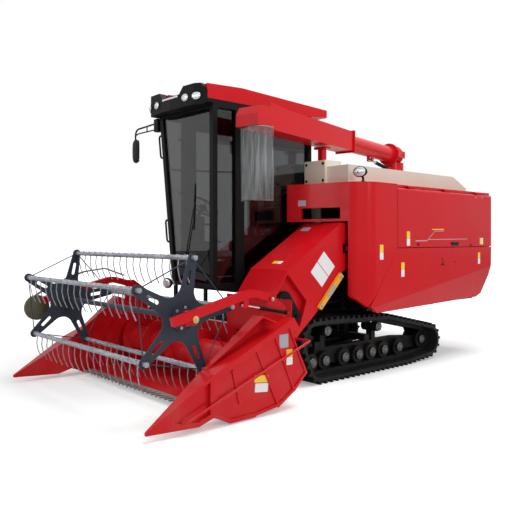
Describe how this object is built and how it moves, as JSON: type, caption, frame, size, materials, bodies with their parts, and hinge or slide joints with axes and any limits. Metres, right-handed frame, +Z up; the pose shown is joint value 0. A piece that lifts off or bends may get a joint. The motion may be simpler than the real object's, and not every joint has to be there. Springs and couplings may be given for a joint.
{
  "type": "tracked combine harvester",
  "caption": "Rubber-tracked combine harvester with a tined reel, a grain header on a feeder house, a closed cab and a swinging unloading auger.",
  "frame": {"origin": "On the ground, below the middle of the machine's length and width.", "axes": "The header faces -Y, +X is the machine's left side and +Z is up."},
  "size_m": [2.808, 5.5, 3.1503],
  "materials": {
    "red_paint": "gloss",
    "star_blue": "satin",
    "cream_paint": "satin",
    "black_paint": "satin",
    "grey_paint": "satin",
    "yellow_paint": "satin",
    "olive_paint": "satin",
    "galvanised": "satin",
    "steel": "satin",
    "rod_chrome": "polished",
    "track_rubber": "matte",
    "cab_plastic": "matte",
    "seat_fabric": "matte",
    "cab_glass": "clear",
    "clear_curtain": "clear"
  },
  "bodies": {
    "chassis": {"frame_rails": "black_paint", "cross_members": "black_paint", "frame_brackets": "black_paint", "decks": "black_paint", "roof_front": "black_paint", "undercarriage": "black_paint", "track_left": "track_rubber", "track_right": "track_rubber", "engine": "grey_paint", "separator_body": "black_paint", "front_fascia": "red_paint", "side_cover_lower": "red_paint", "body_covers": "red_paint", "grain_tank": "cream_paint", "tank_front": "cream_paint", "cab_frame": "black_paint", "cab_glass": "cab_glass", "cab_roof": "red_paint", "seat": "seat_fabric", "console": "cab_plastic", "mirror": "black_paint", "cab_ladder": "black_paint", "auger_turret": "red_paint"},
    "header": {"feeder_house": "red_paint", "feeder_drive": "black_paint", "lift_bracket": "red_paint", "safety_prop": "yellow_paint", "header_frame": "red_paint", "dividers": "red_paint", "cutter_guards": "steel"},
    "knife": {"knife": "steel"},
    "header_auger": {"header_auger": "red_paint"},
    "reel_frame": {"reel_arms": "red_paint", "reel_drive": "olive_paint"},
    "reel": {"reel_stars": "star_blue"},
    "bat_1": {"reel_bat_1": "galvanised"},
    "bat_2": {"reel_bat_2": "galvanised"},
    "bat_3": {"reel_bat_3": "galvanised"},
    "bat_4": {"reel_bat_4": "galvanised"},
    "bat_5": {"reel_bat_5": "galvanised"},
    "lift_barrel": {"lift_barrel": "black_paint"},
    "lift_rod": {"lift_rod": "rod_chrome"},
    "reel_barrels": {"reel_ram_barrels": "black_paint"},
    "reel_rods": {"reel_ram_rods": "rod_chrome"},
    "auger_base": {"auger_elbow": "red_paint"},
    "auger_boom": {"auger_tube": "red_paint", "spout_curtain": "clear_curtain"},
    "auger_barrel": {"auger_ram_barrel": "black_paint"},
    "auger_rod": {"auger_ram_rod": "rod_chrome"},
    "side_door": {"side_cover_upper": "red_paint"},
    "cab_door": {"cab_door": "black_paint", "cab_door_glass": "cab_glass"}
  },
  "joints": [
    {"name": "header_lift", "type": "hinge", "parent": "chassis", "child": "header", "pos_m": [0.62, 0.02, 1.42], "axis": [-1, 0, 0], "range_deg": [0, 16]},
    {"name": "knife_stroke", "type": "slide", "parent": "header", "child": "knife", "axis": [1, 0, 0], "range_m": [-0.038, 0.038]},
    {"name": "header_auger_spin", "type": "hinge", "parent": "header", "child": "header_auger", "pos_m": [0, -1.35, 0.35], "axis": [1, 0, 0], "continuous": true},
    {"name": "reel_lift", "type": "hinge", "parent": "header", "child": "reel_frame", "pos_m": [0, -1.43, 0.99], "axis": [-1, 0, 0], "range_deg": [0, 18]},
    {"name": "reel_spin", "type": "hinge", "parent": "reel_frame", "child": "reel", "pos_m": [0, -2.25, 0.875], "axis": [1, 0, 0], "continuous": true},
    {"name": "bat_1_turn", "type": "hinge", "parent": "reel", "child": "bat_1", "pos_m": [0, -1.75302, 0.92987], "axis": [1, 0, 0], "continuous": true},
    {"name": "bat_2_turn", "type": "hinge", "parent": "reel", "child": "bat_2", "pos_m": [0, -2.14861, 1.36461], "axis": [1, 0, 0], "continuous": true},
    {"name": "bat_3_turn", "type": "hinge", "parent": "reel", "child": "bat_3", "pos_m": [0, -2.68432, 1.12273], "axis": [1, 0, 0], "continuous": true},
    {"name": "bat_4_turn", "type": "hinge", "parent": "reel", "child": "bat_4", "pos_m": [0, -2.61982, 0.53849], "axis": [1, 0, 0], "continuous": true},
    {"name": "bat_5_turn", "type": "hinge", "parent": "reel", "child": "bat_5", "pos_m": [0, -2.04424, 0.4193], "axis": [1, 0, 0], "continuous": true},
    {"name": "lift_barrel_turn", "type": "hinge", "parent": "chassis", "child": "lift_barrel", "pos_m": [0.62, 0.25, 0.83], "axis": [-1, 0, 0], "range_deg": [-0.2, 10.16]},
    {"name": "lift_rod_slide", "type": "slide", "parent": "lift_barrel", "child": "lift_rod", "axis": [0, -0.9987, -0.0517], "range_m": [-0.001, 0.16309]},
    {"name": "reel_barrels_turn", "type": "hinge", "parent": "header", "child": "reel_barrels", "pos_m": [0, -1.215, 0.85], "axis": [-1, 0, 0], "range_deg": [-0.2, 9.84]},
    {"name": "reel_rods_slide", "type": "slide", "parent": "reel_barrels", "child": "reel_rods", "axis": [0, -0.981, 0.1942], "range_m": [-0.0005, 0.0241]},
    {"name": "auger_swing", "type": "hinge", "parent": "chassis", "child": "auger_base", "pos_m": [0.05, 2.05, 2.5], "axis": [0, 0, 1], "range_deg": [0, 100]},
    {"name": "auger_lift", "type": "hinge", "parent": "auger_base", "child": "auger_boom", "pos_m": [0.05, 2.05, 2.69], "axis": [-0.9824, -0.1867, 0], "range_deg": [0, 18]},
    {"name": "auger_barrel_turn", "type": "hinge", "parent": "auger_base", "child": "auger_barrel", "pos_m": [0.08794, 1.85032, 2.4933], "axis": [-0.9824, -0.1867, 0], "range_deg": [-0.2, 22.44]},
    {"name": "auger_rod_slide", "type": "slide", "parent": "auger_barrel", "child": "auger_rod", "axis": [0.1849, -0.9734, 0.1354], "range_m": [-0.0005, 0.07938]},
    {"name": "side_door_swing", "type": "hinge", "parent": "chassis", "child": "side_door", "pos_m": [1.128, 1.65, 2.122], "axis": [0, -1, 0], "range_deg": [0, 85]},
    {"name": "cab_door_swing", "type": "hinge", "parent": "chassis", "child": "cab_door", "pos_m": [-0.846, 0.168, 1.97], "axis": [0, 0, -1], "range_deg": [0, 75]}
  ],
  "couplings": [
    {"joint": "bat_1_turn", "follows": "reel_spin", "ratio": -1},
    {"joint": "bat_2_turn", "follows": "reel_spin", "ratio": -1},
    {"joint": "bat_3_turn", "follows": "reel_spin", "ratio": -1},
    {"joint": "bat_4_turn", "follows": "reel_spin", "ratio": -1},
    {"joint": "bat_5_turn", "follows": "reel_spin", "ratio": -1},
    {"joint": "lift_barrel_turn", "follows": "header_lift", "ratio": 0.62235},
    {"joint": "lift_rod_slide", "follows": "header_lift", "m_per_rad": 0.58045},
    {"joint": "reel_barrels_turn", "follows": "reel_lift", "ratio": 0.53571},
    {"joint": "reel_rods_slide", "follows": "reel_lift", "m_per_rad": 0.07511},
    {"joint": "auger_barrel_turn", "follows": "auger_lift", "ratio": 1.2358},
    {"joint": "auger_rod_slide", "follows": "auger_lift", "m_per_rad": 0.25107}
  ]
}
